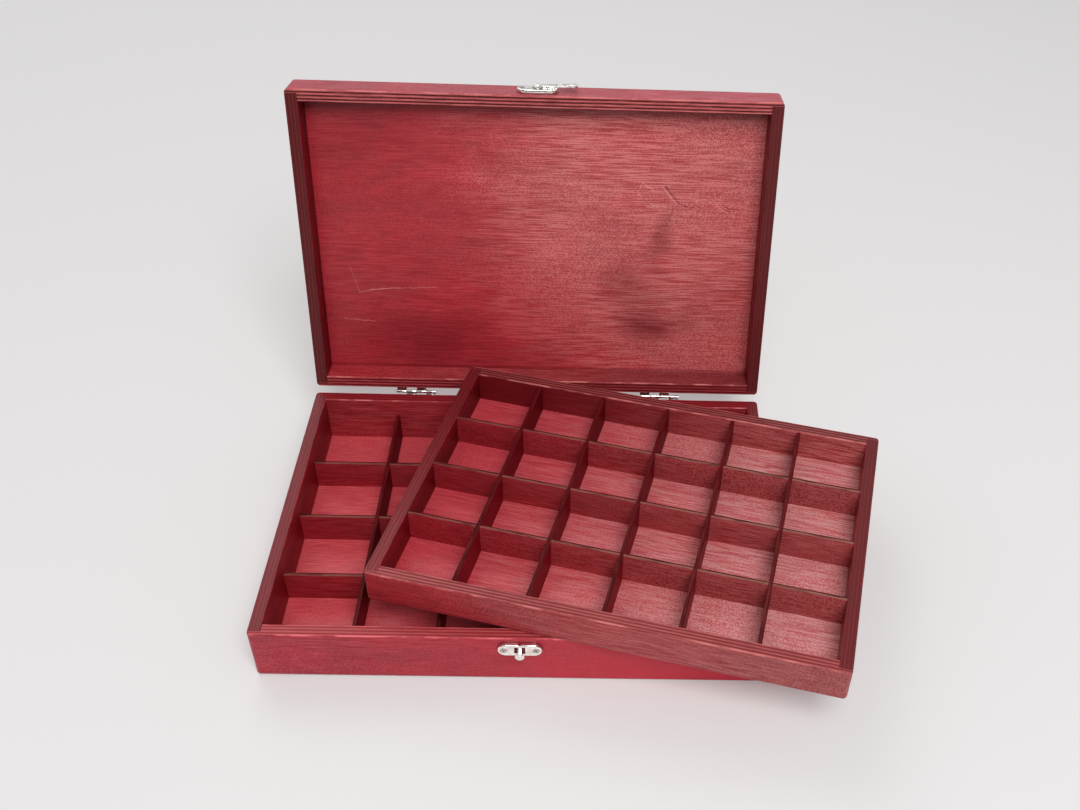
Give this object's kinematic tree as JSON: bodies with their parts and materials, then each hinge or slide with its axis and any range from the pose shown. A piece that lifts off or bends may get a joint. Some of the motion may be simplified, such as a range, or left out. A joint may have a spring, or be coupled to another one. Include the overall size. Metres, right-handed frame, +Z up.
{
  "type": "stamp box",
  "caption": "Open stained-plywood stamp box with a hinged lid, a swing-hook latch, a divided base and a loose divided tray lying askew across it.",
  "frame": {"origin": "middle of the base's underside", "axes": "+X to the right along the base's front, +Y to the back, towards the hinges, +Z up"},
  "size_m": [0.4318, 0.3539, 0.2845],
  "materials": {
    "stained_boards": "cherry-red stained birch plywood, satin, with pale worn edges",
    "stained_panels": "cherry-red stained birch plywood panel, satin",
    "stained_dividers": "cherry-red stained thin birch plywood strips, satin",
    "nickel_hinges": "bright nickel plate, a little dulled",
    "nickel_latch": "bright nickel plate, a little dulled",
    "nickel_fasteners": "bright nickel plate"
  },
  "bodies": {
    "base": {"base_front_wall": "stained_boards", "base_rear_wall": "stained_boards", "base_left_wall": "stained_boards", "base_right_wall": "stained_boards", "base_floor": "stained_panels", "base_column_divider_1": "stained_dividers", "base_column_divider_2": "stained_dividers", "base_column_divider_3": "stained_dividers", "base_column_divider_4": "stained_dividers", "base_column_divider_5": "stained_dividers", "base_row_divider_1": "stained_dividers", "base_row_divider_2": "stained_dividers", "base_row_divider_3": "stained_dividers", "catch_plate": "nickel_latch", "catch_screws": "nickel_fasteners", "left_hinge_base_leaf": "nickel_hinges", "right_hinge_base_leaf": "nickel_hinges", "left_hinge_pin": "nickel_hinges", "right_hinge_pin": "nickel_hinges", "hinge_base_screws": "nickel_fasteners"},
    "lid": {"lid_front_rail": "stained_boards", "lid_rear_rail": "stained_boards", "lid_left_rail": "stained_boards", "lid_right_rail": "stained_boards", "lid_panel": "stained_panels", "latch_plate": "nickel_latch", "latch_screws": "nickel_fasteners", "latch_rivet": "nickel_fasteners", "left_hinge_lid_leaf": "nickel_hinges", "right_hinge_lid_leaf": "nickel_hinges", "hinge_lid_screws": "nickel_fasteners"},
    "hook": {"latch_hook": "nickel_latch"},
    "tray": {"tray_front_wall": "stained_boards", "tray_rear_wall": "stained_boards", "tray_left_wall": "stained_boards", "tray_right_wall": "stained_boards", "tray_floor": "stained_panels", "tray_column_divider_1": "stained_dividers", "tray_column_divider_2": "stained_dividers", "tray_column_divider_3": "stained_dividers", "tray_column_divider_4": "stained_dividers", "tray_column_divider_5": "stained_dividers", "tray_row_divider_1": "stained_dividers", "tray_row_divider_2": "stained_dividers", "tray_row_divider_3": "stained_dividers"}
  },
  "joints": [
    {"name": "lid_hinge", "type": "hinge", "parent": "base", "child": "lid", "pos_m": [0, 0.1221, 0.04315], "axis": [1, 0, 0], "range_deg": [0, 100.7]},
    {"name": "hook_pivot", "type": "hinge", "parent": "lid", "child": "hook", "pos_m": [0.0007, 0.17566, 0.2784], "axis": [0, 0.1857, 0.9826], "range_deg": [0, 261]},
    {"name": "tray_slide", "type": "slide", "parent": "base", "child": "tray", "axis": [0, -1, 0], "range_m": [0, 0.275]}
  ],
  "couplings": [
    {"joint": "tray_slide", "follows": "lid_hinge", "m_per_rad": 0.1547}
  ]
}
